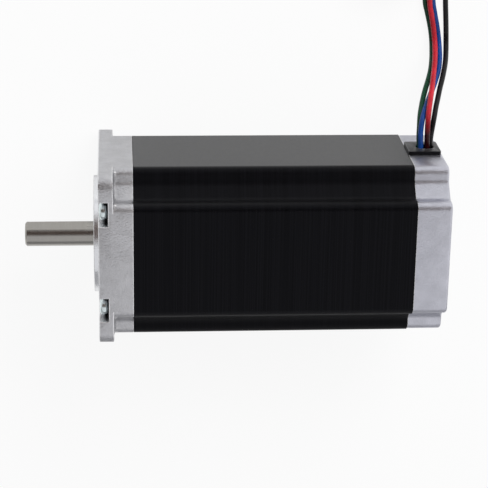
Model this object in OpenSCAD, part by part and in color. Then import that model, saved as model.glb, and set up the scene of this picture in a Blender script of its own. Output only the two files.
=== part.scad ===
// Hybrid stepper motor on a 57 mm square flange, with a long lamination stack and four free leads.
// The mounting face is the plane x = 0. The shaft points to -x, the leads leave on the +y side, and the
// motor lies on its -z flats.

/* [Housing] */
// Side of the square flange and of the laminations
frame_w = 56.4; // [56:0.1:58]
// Thickness of the mounting flange
flange_t = 4.7; // [4.2:0.1:5.2]
// Radius of the flange's four corners
flange_corner_r = 4.5; // [3:0.1:6]
// Depth of the front bell with its flange
bell_len = 11.1; // [10.8:0.1:14]
// Length of the lamination stack
stack_len = 89.2; // [76:0.1:120]
// Depth of the rear cap
cap_len = 11.3; // [11:0.1:14]
// Step from the laminations in to the rear cap, on each side
cap_inset = 0.2; // [0.1:0.05:0.4]
// Depth of the notch along each long corner, as a share of the frame's side
notch_share = 0.1613; // [0.156:0.0001:0.166]
// Legs of the flat across the bottom of the corner notch
notch_flat_leg = 4.2; // [3.6:0.1:4.6]
// Radius at the two ends of that flat
notch_inner_r = 2.6; // [1:0.1:3]
// Radius on the outer edges of the corner notch
notch_outer_r = 2.6; // [1:0.1:3]

/* [Mounting] */
// Diameter of the raised pilot
pilot_d = 38.1; // [36:0.1:39]
// Height of the raised pilot
pilot_h = 1.6; // [1:0.1:2.5]
// Distance of the mounting holes from the sides of the flange
hole_inset = 4.63; // [4.5:0.01:4.8]
// Diameter of the mounting holes
hole_d = 5.1; // [4.5:0.1:5.5]

/* [Shaft] */
// Diameter of the output shaft
shaft_d = 8; // [7:0.01:8]
// Length of shaft in front of the mounting face
shaft_out = 24; // [22:0.1:30]
// Length of the flat on the shaft
flat_len = 20; // [10:0.1:20]
// Depth of the flat
flat_depth = 0.5; // [0.3:0.1:0.8]
// Diameter of the thicker middle of the shaft
core_d = 10; // [9:0.1:11]
// Chamfer on the shaft's tip
shaft_chamfer = 0.5; // [0.3:0.1:0.8]

/* [Tie screws] */
// Nominal diameter of the tie screws
screw_d = 3; // [2.5:0.1:3]
// Diameter of the screw heads
screw_head_d = 5.5; // [5:0.1:5.8]
// Height of the screw heads
screw_head_h = 2.6; // [2:0.1:2.8]
// Distance of the screws from the wall of the notch beside them
screw_wall_gap = 3.1; // [2.9:0.1:3.3]
// Distance of the screws from the nearest flat
screw_inset = 4.2; // [4:0.1:4.6]
// Width of the open pocket round a screw head
pocket_w = 7.8; // [7:0.1:8]
// Depth of the open pocket
pocket_depth = 3.1; // [2.8:0.1:3.3]

/* [Stator and windings] */
// Number of stator poles, four for each phase
pole_count = 8; // [8]
// Teeth on the face of each pole
pole_teeth = 6; // [5:1:6]
// Diameter of the stator's bore, as a share of the frame's side
bore_share = 0.5887; // [0.58:0.0001:0.595]
// Width of the neck of each pole, as a share of the frame's side
neck_share = 0.1135; // [0.106:0.0001:0.12]
// Thickness of the yoke between the winding slots and the flats
yoke_t = 3.4; // [3.2:0.1:3.6]
// Thickness of the pole shoes, as a share of the space between bore and yoke
shoe_share = 0.28; // [0.25:0.01:0.31]
// Gap between two pole shoes
shoe_gap = 1.7; // [1.4:0.1:2]
// Gap between two neighbouring windings where they are closest
winding_gap = 1.96; // [1.8:0.01:3]
// Thickness of the insulator on the ends of the stack
insulator_t = 0.8; // [0.6:0.1:1]

/* [Rotor] */
// Number of teeth on each rotor cup
rotor_teeth = 50; // [40:10:60]
// Air gap between rotor and stator
air_gap = 0.1; // [0.08:0.01:0.15]
// Distance from the ends of the laminations to the ends of the rotor
rotor_setback = 4.7; // [3:0.1:8]
// Thickness of a magnet between two cups
magnet_t = 2.6; // [2:0.1:3]
// Gap between two pairs of cups
pair_gap = 1.2; // [0.8:0.1:2]
// Depth of the magnets below the teeth of the cups
magnet_inset = 1.5; // [1:0.1:3]

/* [Bearings] */
// Outer diameter of a bearing
bearing_d = 22; // [21:0.1:22]
// Width of a bearing
bearing_w = 7; // [6.6:0.1:7]
// Diameter of a bearing ball
ball_d = 3.969; // [3.5:0.001:4]
// Number of balls in a bearing
ball_count = 7; // [6:1:8]

/* [Leads] */
// Outer diameter of a lead
lead_d = 1.8; // [1.4:0.1:1.9]
// Diameter of the tinned end of a lead
tip_d = 1; // [0.8:0.1:1.2]
// Length of the tinned end of a lead
tip_len = 4; // [3:0.1:4]
// Turns in the put-away coil of each lead
coil_turns = 3.5; // [2.5:1:3.5]
// Centreline radius of the outermost turn
coil_outer_r = 14; // [13.5:0.1:14.2]
// Step between neighbouring turns, and between the coils of two leads
coil_step = 2.3; // [2.25:0.01:2.35]
// Band width of the tie round the put-away coils
tie_w = 2.5; // [2:0.1:4]
// Thickness of the tie
tie_t = 0.6; // [0.4:0.1:0.6]
// Distance of the grommet's plate from the motor's rear face
grommet_rear_gap = 0.6; // [0.4:0.1:1.2]
// Width of the grommet's plate
grommet_w = 11.4; // [10.8:0.1:12]
// Height of the grommet's plate above the rear cap
grommet_h = 1.2; // [0.8:0.1:1.3]
// Length of the oval lead hole
lead_hole_len = 5.9; // [5.6:0.1:6.4]
// Width of the oval lead hole
lead_hole_w = 4.4; // [4.1:0.1:4.8]

/* [Hidden] */
$fn = 64;
overrun = 0.5;
seat_gap = 0.01;

// Places along the motor
half_w = frame_w / 2;
notch_leg = notch_share * frame_w;
fillet_bite = 0.002;
hole_spacing = frame_w - 2 * hole_inset;
cap_w = frame_w - 2 * cap_inset;
cap_half = cap_w / 2;
stack_start = bell_len;
seam_x = bell_len + stack_len;
rear_x = seam_x + cap_len;
stack_mid = stack_start + stack_len / 2;

// Clearances in the housing
pin_clearance = 0.15;
window_clearance = 0.05;

// Bearing seats: the front one holds the preload washer in front of the bearing
washer_t = 0.5;
front_bearing_setback = 0.7;
rear_bearing_setback = 1;
front_bearing_x = bell_len - front_bearing_setback - bearing_w;
rear_bearing_x = seam_x + rear_bearing_setback;
boss_wall = 2.5;
boss_r = bearing_d / 2 + boss_wall;
boss_setback = 0.3;
front_opening_d = 13;
front_wall = 0.4;

// Stator
bore_r = bore_share * half_w;
neck_w = neck_share * frame_w;
slot_r = half_w - yoke_t;
shoe_r = bore_r + shoe_share * (slot_r - bore_r);
neck_clearance = 0.05;
sleeve_t = 0.35;
sleeve_half = neck_w / 2 + neck_clearance + sleeve_t;
tooth_pitch = 360 / rotor_teeth;
tooth_gap_share = 0.58;
tooth_depth = 0.8;
winding_shoe_gap = 0.5;
winding_slot_gap = 1.3;
winding_inner_r = shoe_r + winding_shoe_gap;
winding_outer_r = slot_r - winding_slot_gap;
winding_room = winding_inner_r * tan(180 / pole_count) - winding_gap / 2;
winding_t = winding_room - sleeve_half - neck_clearance;
winding_corner_r = 1.2;
insulator_wall = 0.8;
insulator_rim = 0.7;
insulator_h = insulator_t + winding_t + insulator_rim;
cavity_gap = 0.1;
cavity_r = slot_r + insulator_wall + cavity_gap;

// Rotor: three pairs of cups
rotor_r = bore_r - air_gap;
rotor_tooth_depth = 0.9;
pair_len = (stack_len - 2 * rotor_setback - 2 * pair_gap) / 3;
cup_len = (pair_len - magnet_t) / 2;
rotor_start = stack_start + rotor_setback;
magnet_r = rotor_r - magnet_inset;

// Shaft: its flat is turned from +z towards the leads, and its bearing seats are a trace thicker
flat_angle = 68;
seat_step = 0.002;
relief_x = 1.5;
relief_len = 0.9;
relief_depth = 0.3;

// Bearing rings
ball_circle_d = (bearing_d + shaft_d) / 2;
groove_clearance = 0.05;
groove_r = ball_d / 2 + groove_clearance;
shoulder_height = 0.55;
inner_race_r = ball_circle_d / 2 - ball_d / 2 + shoulder_height;
outer_race_r = ball_circle_d / 2 + ball_d / 2 - shoulder_height;
shield_t = 0.3;
shield_setback = 0.3;
shield_gap = 0.25;
cage_t = 1.6;
cage_rim = 0.215;
cage_w = ball_d + 2 * cage_rim;
cage_pocket_clearance = 0.06;

// Terminal board in the rear cap
board_t = 1;
board_gap = 0.1;
board_rim_gap = 1.3;
rear_space = insulator_h + board_rim_gap + board_t + board_gap;
board_inner_gap = 0.8;
board_outer_gap = 0.5;
board_inner_r = boss_r + board_inner_gap;
board_outer_r = cavity_r - board_outer_gap;

// Tie screws
screw_y = half_w - notch_leg - screw_wall_gap;
screw_z = half_w - screw_inset;
screw_thread_len = 8;
recess_w = 0.9;
recess_len = 3;
recess_depth = 1.1;
head_crown = 1.1;

// Grommet in the rear cap's side wall
grommet_setback = 0.1;
grommet_x = seam_x + grommet_setback;
grommet_len = cap_len - grommet_setback - grommet_rear_gap;
grommet_top = cap_half + grommet_h;
grommet_corner_r = 0.8;
plug_margin = 1.3;
plug_len = grommet_len - 2 * plug_margin;
plug_w = grommet_w - 2 * plug_margin;
plug_depth = 2.6;
lead_hole_share = 0.5875;
lead_hole_x = grommet_x + plug_margin + lead_hole_share * plug_len;
lead_sides = 8;

// Free stretches of the leads: along the motor from the lead hole's middle, out from the grommet's face,
// and height above the middle plane. They are drawn for a motor that lies as low as route_floor_z.
route_floor_z = -28.2;
route_level_h = 4;
green_route = [
    [-1.6, 0, -1.1], [-1.8, 3.6, -1.1], [-1.7, 6.7, -1.7], [-1.4, 9.5, -3.3], [-0.7, 11.6, -5.8],
    [0.2, 13.6, -8.7], [1.4, 16, -11.9], [2.8, 18.4, -15.2], [4, 20.8, -18.4], [4.8, 23.1, -21.7],
    [5.3, 25.8, -24.9], [5.3, 29.7, -26.9], [4.6, 33.9, -27.3], [3.6, 37.9, -27.3], [2.6, 41.9, -27.3],
    [2.6, 46, -27.3], [3.2, 50.3, -27.3], [4.2, 54.8, -27.1], [5.2, 58.3, -26.8], [5.6, 61, -26.6]
];
blue_route = [
    [-1.5, 0, 1.1], [-1.7, 3.6, 1], [-1.4, 7.4, 0.1], [-0.4, 10.6, -2.2], [0.9, 12.6, -5.2],
    [2.3, 14.4, -8.3], [3.8, 16.4, -11.7], [5.3, 18.6, -15], [6.6, 20.8, -18.4], [7.4, 23.1, -21.7],
    [7.8, 25.8, -24.9], [7.6, 29.7, -26.9], [6.9, 33.9, -27.3], [6, 37.9, -27.3], [5.2, 41.9, -27.3],
    [5, 46, -26.9], [5.2, 50.3, -26.1], [5.4, 54.8, -25], [5.6, 58.3, -24.5], [5.6, 61, -24.3]
];
red_route = [
    [0.6, 0, 1.1], [0.5, 3.6, 1.3], [0.5, 7.8, 0.9], [1, 11.5, -1], [1.8, 14.2, -4],
    [2.6, 16.3, -7], [3.4, 18.3, -10.3], [4.2, 20.3, -13.8], [5, 22.4, -17.2], [5.6, 24.6, -20.4],
    [6, 27.1, -23.3], [5.9, 30.3, -25], [5.4, 33.9, -25.4], [4.6, 37.9, -25.4], [3.8, 41.9, -25.4],
    [3.8, 46, -25], [4.2, 50.3, -24], [5, 54.8, -22.9], [5.5, 58.3, -22.3], [5.6, 61, -22]
];
black_route = [
    [1.9, 0, -1.1], [2.1, 3.6, -1], [2.6, 6.8, -1.5], [3.3, 9.6, -3.1], [4.1, 11.7, -5.7],
    [5.1, 13.8, -8.6], [6.2, 16.3, -11.8], [7.4, 18.9, -14.8], [8.5, 21.2, -18.1], [9.4, 23.3, -21.5],
    [10, 25.9, -24.8], [10.2, 29.7, -26.9], [10, 33.9, -27.3], [9.7, 37.9, -27.3], [9.4, 41.9, -27.3],
    [9.1, 46, -26.6], [8.6, 50.3, -24.9], [7.5, 54.8, -22.3], [6.3, 58.3, -20.4], [5.6, 61, -19.7]
];

// Put-away coils: flat spirals of the four leads, one above the other
coil_rings = 24;
coil_sides = 6;
coil_lead_in = lead_d;
lead_end = placed(green_route[19]);
coil_x = lead_end[0] - coil_outer_r;
coil_y = lead_end[1] + coil_lead_in;
coil_floor_z = lead_end[2];
coil_inner_r = coil_outer_r - coil_step * coil_turns;
curl_r = 4;
curl_angle = 130;
curl_rings = 8;
tie_gap = 0.05;
tie_side_gap = 0.2;

// Where a point of a route is: its descent reaches to the plane that the motor lies on
function placed(p) = let (descent = max(0, min(1, p[2] / (route_floor_z + route_level_h))))
    [lead_hole_x + p[0], grommet_top + p[1], p[2] - descent * (half_w + route_floor_z)];

// A child drawn upwards from the xy plane, turned to run along the motor from x
module along(x) {
    translate([x, 0, 0]) rotate([0, 90, 0]) children();
}

// Rectangle with round corners, centred
module rounded_rectangle(length, width, corner_r) {
    square([length - 2 * corner_r, width], center = true);
    square([length, width - 2 * corner_r], center = true);
    for (sx = [-1, 1], sy = [-1, 1])
        translate([sx * (length / 2 - corner_r), sy * (width / 2 - corner_r)]) circle(corner_r);
}

// What is cut from one corner of the square: a notch with a flat bottom and rounded outer edges
module corner_notch(half) {
    wall = half - notch_leg;
    difference() {
        translate([wall, wall]) square(notch_leg + overrun);
        translate([wall, wall]) notch_bottom();
    }
    for (side = [0, 1]) mirror([side, -side]) edge_rounding(half, wall);
}

// What the flat leaves in the corner of a notch, with a fillet where it meets each wall
module notch_bottom() {
    slope = 45; // the fillet's circle bites a trace into both, so that it crosses them clearly
    reach = notch_inner_r * tan(slope / 2);
    polygon([[0, 0], [notch_flat_leg, 0], [0, notch_flat_leg]]);
    for (side = [0, 1]) mirror([side, -side]) difference() {
        polygon([
            [notch_flat_leg / 2, 0],
            [notch_flat_leg + reach, 0],
            [notch_flat_leg - reach * cos(slope), reach * sin(slope)]
        ]);
        translate([notch_flat_leg + reach, notch_inner_r]) circle(notch_inner_r + fillet_bite);
    }
}

// What rounding takes off the outer edge of one notch wall
module edge_rounding(half, wall) {
    difference() {
        translate([half - notch_outer_r, wall - notch_outer_r]) square(notch_outer_r + overrun);
        translate([half - notch_outer_r, wall - notch_outer_r]) circle(notch_outer_r);
    }
}

// Square section with the four corner notches
module notched_section(width) {
    difference() {
        square(width, center = true);
        for (turn = [0:3]) rotate(90 * turn) corner_notch(width / 2);
    }
}

// The four places of the tie screws, as places across the motor
module at_screws(x) {
    for (sy = [-1, 1], sz = [-1, 1])
        translate([0, sy * screw_y, sz * screw_z]) along(x) children();
}

// The four places of the mounting holes
module at_mounting_holes(x) {
    for (sy = [-1, 1], sz = [-1, 1])
        translate([0, sy * hole_spacing / 2, sz * hole_spacing / 2]) along(x) children();
}

// Ring-shaped space for the ends of the windings
module winding_space(x, depth) {
    along(x) difference() {
        cylinder(r = cavity_r, h = depth);
        translate([0, 0, -overrun]) cylinder(r = boss_r, h = depth + 2 * overrun);
    }
}

// Pocket in the flange for one screw head, open to the nearest flat
module screw_pocket(sy, sz) {
    translate([0, sy * screw_y, sz * screw_z]) {
        along(-overrun) cylinder(d = pocket_w, h = pocket_depth + overrun);
        translate([-overrun, -pocket_w / 2, sz > 0 ? 0 : -half_w])
            cube([pocket_depth + overrun, pocket_w, half_w]);
    }
}

// Front bell: square flange, round pilot, notched skirt, bearing seat and winding space
module front_bell() {
    washer_x = front_bearing_x - washer_t;
    color([0.62, 0.62, 0.62]) difference() {
        union() {
            along(0) linear_extrude(flange_t) rounded_rectangle(frame_w, frame_w, flange_corner_r);
            along(0) linear_extrude(bell_len) notched_section(frame_w);
            along(-pilot_h) cylinder(d = pilot_d, h = pilot_h + flange_t);
        }
        along(-pilot_h - overrun) cylinder(d = front_opening_d, h = bell_len + pilot_h + 2 * overrun);
        along(washer_x) cylinder(d = bearing_d + 2 * seat_gap, h = bell_len);
        along(bell_len - boss_setback) cylinder(r = boss_r + overrun, h = bell_len);
        winding_space(flange_t + front_wall, bell_len);
        at_screws(-overrun) cylinder(d = screw_d + 2 * pin_clearance, h = bell_len + 2 * overrun);
        for (sy = [-1, 1], sz = [-1, 1]) screw_pocket(sy, sz);
        at_mounting_holes(-overrun) cylinder(d = hole_d, h = flange_t + 2 * overrun);
    }
}

// Rear cap: notched cup with the rear bearing seat, the screw threads and the lead window
module rear_cap() {
    color([0.68, 0.69, 0.71]) difference() {
        along(seam_x) linear_extrude(cap_len) notched_section(cap_w);
        along(seam_x - overrun) cylinder(d = bearing_d + 2 * seat_gap,
            h = rear_bearing_x - seam_x + bearing_w + overrun);
        along(seam_x - overrun) cylinder(r = boss_r + overrun, h = boss_setback + overrun);
        winding_space(seam_x - overrun, rear_space + overrun);
        at_screws(seam_x - overrun)
            cylinder(d = screw_d + 2 * seat_gap, h = screw_thread_len + 2 * overrun);
        translate([grommet_x + plug_margin - window_clearance, cavity_r - plug_depth,
            -plug_w / 2 - window_clearance])
            cube([plug_len + 2 * window_clearance, half_w, plug_w + 2 * window_clearance]);
    }
}

// Winding slots between the pole necks, out to the slots' bottom
module winding_slots() {
    difference() {
        circle(slot_r);
        circle(shoe_r);
        for (pole = [0:pole_count - 1]) rotate(360 / pole_count * pole)
            translate([0, -neck_w / 2]) square([slot_r + overrun, neck_w]);
    }
}

// Grooves that leave the teeth on one pole face
module pole_grooves() {
    groove_w = bore_r * sin(tooth_pitch) * tooth_gap_share;
    for (groove = [1:pole_teeth - 1])
        rotate(tooth_pitch * (groove - pole_teeth / 2))
            translate([bore_r - overrun, -groove_w / 2]) square([tooth_depth + overrun, groove_w]);
}

// Lamination stack with eight toothed poles
module stator_core() {
    color([0.08, 0.08, 0.09]) difference() {
        along(stack_start) linear_extrude(stack_len) difference() {
            notched_section(frame_w);
            circle(bore_r);
            winding_slots();
            for (pole = [0:pole_count - 1]) rotate(360 / pole_count * pole) {
                pole_grooves();
                rotate(180 / pole_count) translate([bore_r - overrun, -shoe_gap / 2])
                    square([shoe_r - bore_r + 2 * overrun, shoe_gap]);
            }
        }
        at_screws(stack_start - overrun)
            cylinder(d = screw_d + 2 * pin_clearance, h = stack_len + 2 * overrun);
    }
}

// One insulator, drawn upwards from the end of the stack: plate, walls and sleeves in the slots
module insulator() {
    inner_wall_r = shoe_r - insulator_wall;
    color([0.85, 0.84, 0.8]) {
        linear_extrude(insulator_t) difference() {
            union() {
                for (pole = [0:pole_count - 1]) rotate(360 / pole_count * pole)
                    translate([inner_wall_r, -sleeve_half]) square([slot_r - inner_wall_r, 2 * sleeve_half]);
                insulator_wall_section(shoe_r, inner_wall_r);
                insulator_wall_section(slot_r + insulator_wall, slot_r);
            }
            circle(inner_wall_r);
        }
        linear_extrude(insulator_h) insulator_wall_section(shoe_r, inner_wall_r);
        linear_extrude(insulator_h) insulator_wall_section(slot_r + insulator_wall, slot_r);
        for (pole = [0:pole_count - 1], side = [-1, 1]) rotate(360 / pole_count * pole)
            translate([shoe_r + neck_clearance, side * (sleeve_half - sleeve_t / 2) - sleeve_t / 2,
                overrun - stack_len / 2])
                cube([winding_outer_r - shoe_r, sleeve_t, stack_len / 2]);
    }
}

// Ring between two radii
module insulator_wall_section(outer_r, inner_r) {
    difference() {
        circle(outer_r);
        circle(inner_r);
    }
}

module front_insulator() {
    translate([stack_start, 0, 0]) rotate([0, -90, 0]) insulator();
}

module rear_insulator() {
    along(seam_x) insulator();
}

// Winding round one pole, a flat ring with round corners drawn outwards from the pole's shoe
module winding(number) {
    ring_len = stack_len + 2 * (insulator_t + neck_clearance);
    ring_w = 2 * (sleeve_half + neck_clearance);
    color(number % 2 == 1 ? [0.72, 0.4, 0.2] : [0.66, 0.34, 0.16])
        translate([stack_mid, 0, 0]) rotate([360 / pole_count * (number - 1), 0, 0])
            translate([0, 0, winding_inner_r])
                linear_extrude(winding_outer_r - winding_inner_r) difference() {
                    rounded_rectangle(ring_len + 2 * winding_t, ring_w + 2 * winding_t, winding_corner_r);
                    square([ring_len, ring_w], center = true);
                }
}

// Ring-shaped circuit board that joins the windings to the leads
module terminal_board() {
    color([0.1, 0.35, 0.18]) along(seam_x + insulator_h + board_rim_gap) difference() {
        cylinder(r = board_outer_r, h = board_t);
        translate([0, 0, -overrun]) cylinder(r = board_inner_r, h = board_t + 2 * overrun);
    }
}

// One pan-head tie screw with a cross recess, drawn upwards from the seat of its head
module tie_screw() {
    shank_len = seam_x + screw_thread_len - pocket_depth;
    difference() {
        union() {
            cylinder(d = screw_d, h = shank_len);
            translate([0, 0, head_crown - screw_head_h])
                cylinder(d = screw_head_d, h = screw_head_h - head_crown);
            translate([0, 0, -screw_head_h])
                cylinder(d1 = screw_head_d - 2 * head_crown, d2 = screw_head_d, h = head_crown);
        }
        for (turn = [0, 90]) rotate(turn)
            translate([-recess_len / 2, -recess_w / 2, -screw_head_h - overrun])
                cube([recess_len, recess_w, recess_depth + overrun]);
    }
}

module tie_screws() {
    color([0.75, 0.75, 0.76]) at_screws(pocket_depth) tie_screw();
}

// Spring washer that presses the front bearing rearwards, drawn as it sits, flattened
module preload_washer() {
    washer_wall = 2;
    color([0.55, 0.56, 0.58]) along(front_bearing_x - washer_t) difference() {
        cylinder(d = bearing_d - 2 * pin_clearance, h = washer_t);
        translate([0, 0, -overrun])
            cylinder(d = bearing_d - 2 * pin_clearance - 2 * washer_wall, h = washer_t + 2 * overrun);
    }
}

// Bearing ring between two radii, with the groove for the balls
module race(inner_r, outer_r) {
    color([0.78, 0.79, 0.8]) rotate_extrude() difference() {
        translate([inner_r, 0]) square([outer_r - inner_r, bearing_w]);
        translate([ball_circle_d / 2, bearing_w / 2]) circle(groove_r);
    }
}

module outer_race() {
    race(outer_race_r, bearing_d / 2);
}

module inner_race() {
    race(shaft_d / 2 + seat_gap, inner_race_r);
}

// The two thin shields of a bearing, held in its outer ring
module shields() {
    color([0.5, 0.51, 0.53])
        for (z = [shield_setback, bearing_w - shield_setback - shield_t]) translate([0, 0, z])
            difference() {
                cylinder(r = outer_race_r, h = shield_t);
                translate([0, 0, -overrun])
                    cylinder(r = inner_race_r + shield_gap, h = shield_t + 2 * overrun);
            }
}

// The places of the balls round a bearing
module at_balls() {
    for (ball = [0:ball_count - 1]) rotate(360 / ball_count * ball)
        translate([ball_circle_d / 2, 0, bearing_w / 2]) children();
}

module cage() {
    color([0.7, 0.55, 0.3]) difference() {
        translate([0, 0, (bearing_w - cage_w) / 2]) difference() {
            cylinder(r = (ball_circle_d + cage_t) / 2, h = cage_w);
            translate([0, 0, -overrun])
                cylinder(r = (ball_circle_d - cage_t) / 2, h = cage_w + 2 * overrun);
        }
        at_balls() rotate([0, 90, 0])
            cylinder(r = ball_d / 2 + cage_pocket_clearance, h = cage_t + 2 * overrun, center = true);
    }
}

module balls() {
    color([0.85, 0.86, 0.88]) at_balls() sphere(d = ball_d);
}

// Shaft, thicker between the two bearings. The flat takes away the line where the round side closes.
module shaft() {
    shaft_end = rear_bearing_x + bearing_w;
    core_start = front_bearing_x + bearing_w;
    seat_start = flat_len - shaft_out;
    half_turn = 180;
    color([0.7, 0.69, 0.67]) {
        rotate([-flat_angle, 0, 0]) difference() {
            along(-shaft_out) rotate(half_turn) {
                cylinder(d1 = shaft_d - 2 * shaft_chamfer, d2 = shaft_d, h = shaft_chamfer);
                translate([0, 0, shaft_chamfer])
                    cylinder(d = shaft_d, h = flat_len - shaft_chamfer + overrun);
            }
            translate([-shaft_out - overrun, -shaft_d / 2, shaft_d / 2 - flat_depth])
                cube([flat_len + 3 * overrun, shaft_d, shaft_d]);
        }
        along(seat_start) cylinder(d = shaft_d + 2 * seat_step, h = relief_x - seat_start);
        along(relief_x) cylinder(d = shaft_d - 2 * relief_depth, h = relief_len);
        along(relief_x + relief_len)
            cylinder(d = shaft_d + 2 * seat_step, h = shaft_end - relief_x - relief_len);
        along(core_start) cylinder(d = core_d, h = rear_bearing_x - core_start);
    }
}

// Place along the motor where a pair of cups begins
function pair_x(pair) = rotor_start + (pair - 1) * (pair_len + pair_gap);

// One toothed cup: the rear cup of each pair is turned by half a tooth
module rotor_cup(pair, rear) {
    slot_w = rotor_r * sin(tooth_pitch) * tooth_gap_share;
    color([0.35, 0.35, 0.37]) along(pair_x(pair) + rear * (cup_len + magnet_t))
        linear_extrude(cup_len) difference() {
            circle(rotor_r);
            circle(core_d / 2 + seat_gap);
            for (tooth = [0:rotor_teeth - 1]) rotate(tooth_pitch * (tooth + rear / 2))
                translate([rotor_r - rotor_tooth_depth, -slot_w / 2])
                    square([rotor_tooth_depth + overrun, slot_w]);
        }
}

module rotor_magnet(pair) {
    color([0.25, 0.24, 0.25]) along(pair_x(pair) + cup_len) difference() {
        cylinder(r = magnet_r, h = magnet_t);
        translate([0, 0, -overrun]) cylinder(d = core_d + 2 * seat_gap, h = magnet_t + 2 * overrun);
    }
}

// Plain washers between the pairs of cups
module rotor_spacers() {
    spacer_wall = 3;
    color([0.7, 0.6, 0.35]) for (pair = [1, 2]) along(pair_x(pair) + pair_len) difference() {
        cylinder(r = core_d / 2 + spacer_wall, h = pair_gap);
        translate([0, 0, -overrun]) cylinder(d = core_d + 2 * seat_gap, h = pair_gap + 2 * overrun);
    }
}

// The oval lead hole with a snug place for each lead, as a section across the grommet
module lead_hole_section() {
    translate([lead_hole_x, 0]) rounded_rectangle(lead_hole_len, lead_hole_w, lead_hole_w / 2 - seat_gap);
    for (route = [green_route, blue_route, red_route, black_route])
        translate([placed(route[0])[0], -placed(route[0])[2]]) circle(d = lead_d + 2 * seat_gap);
}

// Rubber grommet: a plate outside the cap and a plug through its window
module grommet() {
    color([0.1, 0.1, 0.1]) rotate([-90, 0, 0]) difference() {
        union() {
            translate([grommet_x + grommet_len / 2, 0, cap_half]) linear_extrude(grommet_h)
                rounded_rectangle(grommet_len, grommet_w, grommet_corner_r);
            translate([grommet_x + plug_margin, -plug_w / 2, cavity_r])
                cube([plug_len, plug_w, cap_half - cavity_r]);
        }
        translate([0, 0, cavity_r - overrun])
            linear_extrude(grommet_top - cavity_r + 2 * overrun) lead_hole_section();
    }
}

// The leads inside the grommet, from the winding space out to its face
module inner_leads() {
    color([0.4, 0.4, 0.42]) for (route = [green_route, blue_route, red_route, black_route])
        translate([placed(route[0])[0], cavity_r, placed(route[0])[2]]) rotate([-90, 0, 0])
            cylinder(d = lead_d, h = grommet_top - cavity_r);
}

// Unit vector along a
function unit(a) = a / norm(a);

// Direction of a route at point i: straight out along y at its two ends
function route_direction(points, i) =
    i == 0 || i == len(points) - 1 ? [0, 1, 0] : unit(points[i + 1] - points[i - 1]);

// Ring of a tube round one point, square to its direction, with its first corner away from up
function tube_ring(point, direction, up, sides, radius) =
    let (across = unit(cross(direction, up)), over = cross(across, direction))
    [for (side = [0:sides - 1])
        point + radius * (cos(360 * (side + 0.5) / sides) * across + sin(360 * (side + 0.5) / sides) * over)];

// Triangles between the rings of a tube, and over its two ends
function tube_faces(rings, sides) = concat(
    [for (ring = [0:rings - 2], side = [0:sides - 1])
        let (a = ring * sides + side, b = ring * sides + (side + 1) % sides)
        [a, a + sides, b]],
    [for (ring = [0:rings - 2], side = [0:sides - 1])
        let (a = ring * sides + side, b = ring * sides + (side + 1) % sides)
        [b, a + sides, b + sides]],
    [for (side = [1:sides - 2]) [0, side, side + 1]],
    [for (side = [1:sides - 2]) let (first = (rings - 1) * sides) [first, first + side + 1, first + side]]
);

// One lead from the grommet to the put-away coils
module lead(route) {
    points = [for (p = route) placed(p)];
    rings = [for (i = [0:len(points) - 1])
        tube_ring(points[i], route_direction(points, i), [1, 0, 0], lead_sides, lead_d / 2)];
    polyhedron([for (ring = rings) each ring], tube_faces(len(points), lead_sides), convexity = 10);
}

// Centreline of one put-away coil: in, round the spiral, a curl inside it, and a straight end
function spiral_point(angle) =
    let (r = coil_outer_r - coil_step * angle / 360) [r * cos(angle), r * sin(angle), 0];
coil_end_angle = 360 * coil_turns;
spiral_points = [for (ring = [0:coil_rings * coil_turns]) spiral_point(360 * ring / coil_rings)];
curl_middle = (coil_inner_r - curl_r) * [cos(coil_end_angle), sin(coil_end_angle), 0];
curl_points = [for (ring = [1:curl_rings]) let (angle = coil_end_angle + curl_angle * ring / curl_rings)
    curl_middle + curl_r * [cos(angle), sin(angle), 0]];
tip_angle = coil_end_angle + curl_angle + 90;
tip_direction = [cos(tip_angle), sin(tip_angle), 0];
coil_points = concat(
    [[coil_outer_r, -coil_lead_in, 0]],
    spiral_points,
    curl_points,
    [curl_points[curl_rings - 1] + lead_d * tip_direction]
);

// Direction of the coil at point i
function coil_direction(i) =
    i <= 1 ? [0, 1, 0] :
    i >= len(coil_points) - 2 ? tip_direction : unit(coil_points[i + 1] - coil_points[i - 1]);

// Least gap between two turns of the coil, measured between points half a turn or more apart
coil_gap = min([for (i = [0:len(coil_points) - 1], j = [0:len(coil_points) - 1])
    if (j - i >= coil_rings / 2) norm(coil_points[i] - coil_points[j])]) - lead_d;

// Height of one lead's coil: each lies a step above the one before
function coil_z(layer) = coil_floor_z + layer * coil_step;

module lead_coil(layer) {
    place = [coil_x, coil_y, coil_z(layer)];
    rings = [for (i = [0:len(coil_points) - 1])
        tube_ring(place + coil_points[i], coil_direction(i), [0, 0, 1], coil_sides, lead_d / 2)];
    echo(least_gap_between_turns = coil_gap);
    polyhedron([for (ring = rings) each ring], tube_faces(len(coil_points), coil_sides), convexity = 10);
}

// Tinned bare ends of the four leads
module lead_tips() {
    end_point = coil_points[len(coil_points) - 1];
    color([0.8, 0.8, 0.82]) for (layer = [0:3])
        translate([coil_x, coil_y, coil_z(layer)] + end_point)
            rotate([0, 90, tip_angle]) cylinder(d = tip_d, h = tip_len);
}

// Band round the four coils, on the side away from the motor's rear
module lead_tie() {
    outer_turn_r = coil_outer_r - coil_step / 4;
    inner_turn_r = coil_inner_r + coil_step / 4;
    bundle_w = outer_turn_r - inner_turn_r + lead_d + 2 * tie_side_gap;
    bundle_h = 3 * coil_step + lead_d + 2 * tie_gap;
    bundle_r = (outer_turn_r + inner_turn_r) / 2;
    tie_corner_r = 1;
    color([0.12, 0.12, 0.12])
        translate([coil_x, coil_y + bundle_r, coil_z(1.5)]) rotate([90, 0, 90])
            translate([0, 0, -tie_w / 2]) linear_extrude(tie_w) difference() {
                rounded_rectangle(bundle_w + 2 * tie_t, bundle_h + 2 * tie_t, tie_corner_r);
                square([bundle_w, bundle_h], center = true);
            }
}

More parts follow.
